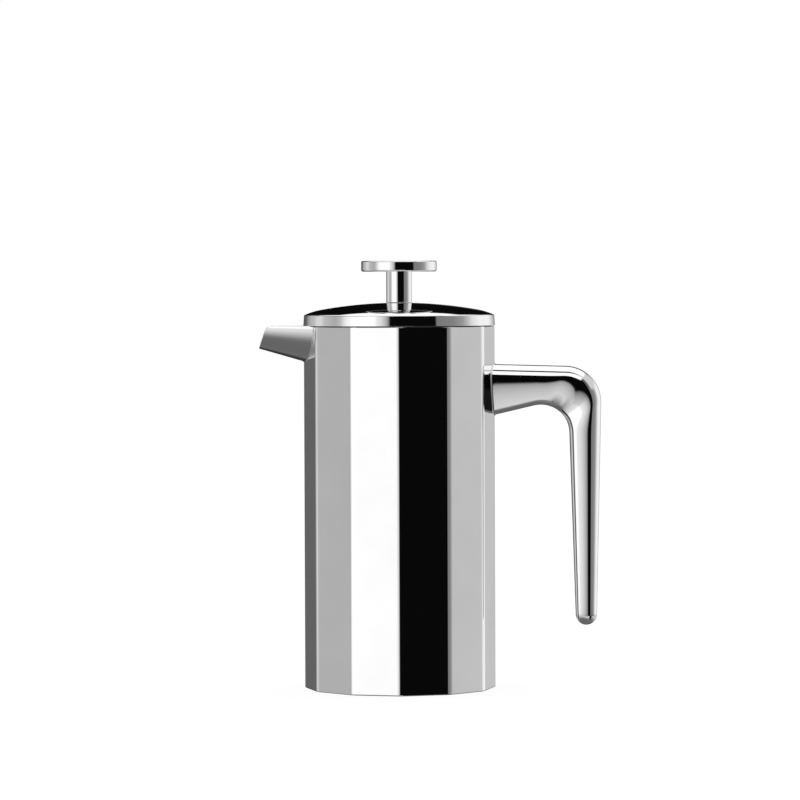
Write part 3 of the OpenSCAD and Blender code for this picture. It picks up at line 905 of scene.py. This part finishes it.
def knob():
    """Flat disc with rounded edges on a thick stem."""
    bottom, top = low("knob_disc").z, high("knob_disc").z
    r = high("knob_disc").x
    edge = 1 * MM
    profile = [(0, bottom)] + arc((r - edge, bottom + edge), edge, -90, 0, 8)
    profile += arc((r - edge, top - edge), edge, 0, 90, 8) + [(0, top)]
    disc = lathe("knob", profile, 256, 50)
    true_flats(disc)
    place(disc, "plunger", MIRROR, "polished_steel", "knob_disc")
    bottom, top = low("knob_stem").z, high("knob_stem").z
    r = high("knob_stem").x
    edge = 0.35 * MM
    profile = [(BORE, bottom)] + arc((r - edge, bottom + edge), edge, -90, 0, 5) + [(r, top), (BORE, top)]
    stem = lathe("stem", profile, 192, 50)
    true_flats(stem)
    place(stem, "plunger", MIRROR, "polished_steel", "knob_stem")
    stud_low, stud_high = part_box("knob_stud")
    simple_lathe("stud", "plunger", SATIN, "satin_steel", ["knob_stud"],
                 rectangle(0, stud_high.x, stud_low.z, stud_high.z), 0.4 * MM, segments=64)


def rod():
    """Rod of the plunger and the collar above its filter."""
    bottom, top = low("plunger_rod").z, high("plunger_rod").z
    r = high("plunger_rod").x
    simple_lathe("rod", "plunger", SATIN, "satin_steel", ["plunger_rod"],
                 rectangle(0, r, bottom, top), 0.4 * MM, segments=96)
    collar_low, collar_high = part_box("rod_collar")
    simple_lathe("collar", "plunger", SATIN, "satin_steel", ["rod_collar"],
                 rectangle(r, collar_high.x, collar_low.z, collar_high.z), 0.5 * MM, segments=96)


def cap():
    """Perforated cap of the filter: dished, with an upturned rim and one ring of holes."""
    bottom, top = low("filter_cap").z, high("filter_cap").z
    r = high("filter_cap").x
    sheet = 0.8 * MM
    turn, inner_turn = 1 * MM, 0.25 * MM
    middle = (r - turn, bottom + turn)
    profile = [(BORE, bottom), (r - turn, bottom)] + arc(middle, turn, -90, 0, 5)
    profile += [(r, top), (r - sheet, top)] + arc(middle, inner_turn, 0, -90, 3)
    profile += [(r - 1.2 * MM, bottom + sheet), (BORE, bottom + sheet)]
    obj = lathe("cap", profile)
    holes, hole_circle, hole_radius = 10, 26 * MM, 4 * MM
    cutters = []
    for i in range(holes):
        a = TAU * i / holes
        cutters.append(round_cutter(f"hole_{i}", hole_circle * math.cos(a), hole_circle * math.sin(a),
                                    hole_radius, bottom - 1 * MM, bottom + 2 * MM))
    cut(obj, cutters)
    soft_edges(obj, 0.12 * MM)
    return place(obj, "plunger", TURNED, "satin_steel", "filter_cap")


def coil():
    """Real coil: a fine wire wound into a ring around the filter's edge."""
    spring_low, spring_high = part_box("edge_spring")
    wire = 0.32 * MM
    wire_sides = 6
    turns = 190
    per_turn = 12
    coil_radius = (spring_high.z - spring_low.z) / 2 - wire
    ring = spring_high.x - coil_radius - wire
    middle = (spring_high.z + spring_low.z) / 2
    points = []
    for i in range(turns * per_turn):
        round_axis = TAU * i / (turns * per_turn)
        wind = TAU * i / per_turn
        r = ring + coil_radius * math.cos(wind)
        points.append((r * math.cos(round_axis), r * math.sin(round_axis),
                       middle + coil_radius * math.sin(wind)))
    bm = bmesh.new()
    rings = []
    count = len(points)
    for i, p in enumerate(points):
        here = Vector(p)
        along = (Vector(points[(i + 1) % count]) - Vector(points[i - 1])).normalized()
        a = TAU * i / count
        middle_of_turn = Vector((ring * math.cos(a), ring * math.sin(a), middle))
        out = (here - middle_of_turn).normalized()
        side = along.cross(out).normalized()
        section = []
        for j in range(wire_sides):
            round_wire = TAU * j / wire_sides
            section.append(here + wire * (out * math.cos(round_wire) + side * math.sin(round_wire)))
        rings.append(section)
    add_grid(bm, rings, close_ends=True)
    obj = from_bmesh("coil", bm, 80)
    return place(obj, "plunger", WIRE, "spring_steel", "edge_spring")


def screen():
    """Woven disc whose edge tapers to a thin rim under the coil."""
    bottom, top = low("mesh_screen").z, high("mesh_screen").z
    r = high("mesh_screen").x
    slant = 0.2 * MM
    profile = [(BORE, bottom), (r - slant, bottom), (r, (bottom + top) / 2), (r - slant, top), (BORE, top)]
    obj = lathe("screen", profile)
    true_flats(obj)
    return place(obj, "plunger", WOVEN, "wire_mesh", "mesh_screen")


def cross():
    """Carrier plate with windows between its spokes."""
    bottom, top = low("cross_plate").z, high("cross_plate").z
    r = high("cross_plate").x
    obj = lathe("carrier", rectangle(BORE, r, bottom, top))
    windows = 6
    spoke = 2.5 * MM  # half its width
    inner, outer = 12 * MM, 36 * MM
    cutters = []
    for w in range(windows):
        a0 = TAU * w / windows
        a1 = a0 + TAU / windows
        outline = []
        for radius, order in ((inner, 1), (outer, -1)):
            gap = math.asin(spoke / radius)
            side = [(radius * math.cos(mix(a0 + gap, a1 - gap, t / 16)),
                     radius * math.sin(mix(a0 + gap, a1 - gap, t / 16))) for t in range(17)]
            outline += side[::order]
        rings = [[(x, y, z) for x, y in outline] for z in (bottom - 1 * MM, top + 1 * MM)]
        cutters.append(closed_solid(f"window_{w}", rings))
    cut(obj, cutters)
    soft_edges(obj, 0.15 * MM)
    place(obj, "plunger", TURNED, "satin_steel", "cross_plate")
    hub = hexagon("hub", "filter_hub", BORE)
    true_flats(hub)
    return place(hub, "plunger", SATIN, "satin_steel", "filter_hub")


# ---------- studio ----------

def value_math(tree, operation, *values):
    """One step of arithmetic on numbers or other nodes' values."""
    node = tree.nodes.new("ShaderNodeMath")
    node.operation = operation
    for i, v in enumerate(values):
        if isinstance(v, (int, float)):
            node.inputs[i].default_value = v
        else:
            tree.links.new(v, node.inputs[i])
    return node.outputs[0]


def grey_ramp(tree, value, stops):
    """A ramp of greys; stops are (position, level)."""
    node = tree.nodes.new("ShaderNodeValToRGB")
    ramp = node.color_ramp
    while len(ramp.elements) < len(stops):
        ramp.elements.new(0.5)
    for element, (position, level) in zip(ramp.elements, stops):
        element.position = position
        element.color = (level, level, level, 1)
    tree.links.new(value, node.inputs["Fac"])
    return node.outputs["Color"]


def blend_colour(tree, factor, a, b):
    """Blends from a to b, each a grey level or a node's colour."""
    node = tree.nodes.new("ShaderNodeMix")
    node.data_type = "RGBA"
    tree.links.new(factor, node.inputs["Factor"])
    for name, v in (("A", a), ("B", b)):
        socket = [s for s in node.inputs if s.name == name and s.type == "RGBA"][0]
        if isinstance(v, (int, float)):
            socket.default_value = (v, v, v, 1)
        else:
            tree.links.new(v, socket)
    return [s for s in node.outputs if s.type == "RGBA"][0]


# The levels below were chosen to match the tones that the photograph shows in the steel.
# Brightness round the horizon, by direction in degrees: 0 is the camera's side, 90 is +X
HORIZON = [(-180, 0.003), (-174, 0.005), (-168, 0.10), (-150, 0.14), (-146, 0.28), (-134, 0.53),
           (-124, 0.60), (-118, 0.80), (-109, 0.80), (-103, 0.60), (-92, 0.53), (-84, 0.47), (-76, 0.60),
           (-68, 1.0), (-58, 1.25), (-30, 1.25), (-28, 1.02), (-22, 0.84), (-17, 0.57), (-13.2, 0.30),
           (-12, 0.003), (44, 0.003), (45.5, 0.22), (68, 0.26), (82, 0.36), (90, 0.57), (98, 0.85),
           (112, 1.05), (136, 1.05), (146, 0.80), (152, 0.60), (180, 0.003)]

# Brightness of the cards, of the table at the sides and of the table in front, by degrees of height
CARD_FADE = [(-21, 0.62), (-12, 0.69), (-9, 0.77), (-6.5, 1)]
TABLE = [(-90, 0.145), (-60, 0.155), (-50, 0.165), (-43, 0.21), (-36, 0.34), (-29, 0.52), (-22, 0.69)]
FRONT_TABLE = [(-90, 0.20), (-51, 0.22), (-44, 0.36), (-38, 0.66), (-34, 0.78), (-30, 0.71), (-26, 0.62),
               (-23, 0.52), (-20, 0.36)]
FAR_TABLE = [(-50, 0.18), (-40, 0.05)]
TABLE_EDGE = [(-20.5, 0), (-19, 1)]
CARD_TOP = [(22, 0), (27, 1)]
CEILING = 0.14

# A raised card on the right, above the others
RAISED = [(58, 0), (66, 1), (140, 1), (152, 0)]
RAISED_LEVEL = 0.74

# Where the far table, the front table and the shade beside it lie, by direction in degrees
BEHIND = [(-160, 1), (-140, 0), (140, 0), (160, 1)]
IN_FRONT = [(-24, 0), (-14, 1), (16, 1), (24, 0)]
SHADED = [(16, 0), (22, 1), (60, 1), (75, 0)]
SHADE_HEIGHT = [(-56, 0), (-48, 1)]
SHADE = 0.01

# The dark end of the room, above the cards behind the object
DARK_END = [(-168, 1), (-158, 0), (155, 0), (166, 1)]
DARK_END_HEIGHT = [(4, 0), (8, 1)]

# The softbox overhead, as slopes along and across the camera's view, with a dark gap between its panels
BOX_ALONG = [(-1.15, 0), (-1.05, 1), (-0.38, 1), (-0.34, 0.04), (-0.16, 0.04), (-0.12, 1),
             (1.28, 1), (1.42, 0)]
BOX_ACROSS = [(-1.0, 0), (-0.9, 1), (0.75, 1), (0.85, 0)]
BOX_LEVEL = 1.25
SLOPE_SPAN = 4  # the slopes from -2 to 2 fill a ramp


def studio_world():
    """White, grey and black cards round the object, an overhead softbox, and a pale table."""
    world = bpy.data.worlds.new("studio")
    bpy.context.scene.world = world
    world.use_nodes = True
    tree = world.node_tree
    tree.nodes.clear()
    where = tree.nodes.new("ShaderNodeTexCoord").outputs["Generated"]
    split = tree.nodes.new("ShaderNodeSeparateXYZ")
    tree.links.new(where, split.inputs[0])
    x, y, z = split.outputs

    def over(value, stops, span):
        return grey_ramp(tree, value, [(0.5 + a / span, level) for a, level in stops])

    turn = value_math(tree, "ARCTAN2", x, value_math(tree, "MULTIPLY", y, -1.0))
    turn = value_math(tree, "MULTIPLY_ADD", turn, 1 / TAU, 0.5)
    height = value_math(tree, "MULTIPLY_ADD", value_math(tree, "ARCSINE", z), 1 / math.pi, 0.5)
    cards = over(turn, HORIZON, 360)
    cards = value_math(tree, "MULTIPLY", cards, over(height, CARD_FADE, 180))
    ceiling = value_math(tree, "MINIMUM", cards, CEILING)
    ceiling = blend_colour(tree, over(turn, RAISED, 360), ceiling, RAISED_LEVEL)
    room = blend_colour(tree, over(height, CARD_TOP, 180), cards, ceiling)
    dark = value_math(tree, "MULTIPLY", over(turn, DARK_END, 360),
                      over(height, DARK_END_HEIGHT, 180))
    room = blend_colour(tree, dark, room, HORIZON[0][1])
    table = over(height, TABLE, 180)
    far_table = value_math(tree, "MINIMUM", table, over(height, FAR_TABLE, 180))
    table = blend_colour(tree, over(turn, BEHIND, 360), table, far_table)
    table = blend_colour(tree, over(turn, IN_FRONT, 360), table, over(height, FRONT_TABLE, 180))
    shaded = value_math(tree, "MULTIPLY", over(turn, SHADED, 360),
                        over(height, SHADE_HEIGHT, 180))
    table = blend_colour(tree, shaded, table, SHADE)
    round_about = blend_colour(tree, over(height, TABLE_EDGE, 180), table, room)

    safe_z = value_math(tree, "MAXIMUM", z, 0.001)
    along = value_math(tree, "MULTIPLY_ADD", value_math(tree, "DIVIDE", y, safe_z), 1 / SLOPE_SPAN, 0.5)
    across = value_math(tree, "MULTIPLY_ADD", value_math(tree, "DIVIDE", x, safe_z), 1 / SLOPE_SPAN, 0.5)
    box = value_math(tree, "MULTIPLY", over(along, BOX_ALONG, SLOPE_SPAN),
                     over(across, BOX_ACROSS, SLOPE_SPAN))
    everything = blend_colour(tree, box, round_about, BOX_LEVEL)
    scene_light = tree.nodes.new("ShaderNodeBackground")
    tree.links.new(everything, scene_light.inputs["Color"])
    scene_light.inputs["Strength"].default_value = 1.0
    backdrop = tree.nodes.new("ShaderNodeBackground")
    backdrop.inputs["Color"].default_value = (1, 1, 1, 1)
    backdrop.inputs["Strength"].default_value = 1.0
    chooser = tree.nodes.new("ShaderNodeMixShader")
    seen = tree.nodes.new("ShaderNodeLightPath").outputs["Is Camera Ray"]
    tree.links.new(seen, chooser.inputs[0])
    tree.links.new(scene_light.outputs[0], chooser.inputs[1])
    tree.links.new(backdrop.outputs[0], chooser.inputs[2])
    output = tree.nodes.new("ShaderNodeOutputWorld")
    tree.links.new(chooser.outputs[0], output.inputs[0])


def floor():
    """Plain pale table top that carries a faint contact shadow."""
    half_side = 6
    bm = bmesh.new()
    bmesh.ops.create_grid(bm, x_segments=8, y_segments=8, size=half_side)
    obj = from_bmesh("floor", bm)
    mat, tree, shader, where = material("pale_floor")
    shader.inputs["Roughness"].default_value = 0.9
    shader.inputs["Specular IOR Level"].default_value = 0
    grain = noise(tree, where, 3, 2)
    tree.links.new(tint(tree, grain, (0.17, 0.17, 0.17), (0.18, 0.18, 0.18)), shader.inputs["Base Color"])
    shader.inputs["Emission Color"].default_value = (1, 1, 1, 1)
    shader.inputs["Emission Strength"].default_value = 0.88
    obj.data.materials.append(mat)
    obj.visible_glossy = False


def camera():
    """Level view from a little above the rim, a long lens, the spout on the left."""
    data = bpy.data.cameras.new("camera")
    obj = bpy.data.objects.new("camera", data)
    bpy.context.scene.collection.objects.link(obj)
    distance, eye_height = 2.276, 0.222
    azimuth, roll = math.radians(-0.55), math.radians(-0.2)
    eye = Vector((math.sin(azimuth) * distance, -math.cos(azimuth) * distance, eye_height))
    target = Vector((0.00034, 0, 0.1585))
    obj.location = eye
    look = (target - eye).to_track_quat("-Z", "Y")
    obj.rotation_euler = (look @ Quaternion((0, 0, 1), roll)).to_euler()
    data.sensor_width = 36
    data.lens = 186.05
    data.clip_start = 0.05
    data.clip_end = 50
    bpy.context.scene.camera = obj


jacket()
beaker()
rim()
base()
spout()
spout_weld()
handle()
lid()
lid_parts()
strainer()
bush_parts()
knob()
rod()
cap()
coil()
screen()
cross()
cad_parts["handle_backing_plate"].data.materials.clear()
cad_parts["handle_backing_plate"].data.materials.append(SATIN)

studio_world()
floor()
camera()
bpy.context.scene.view_settings.view_transform = "Standard"
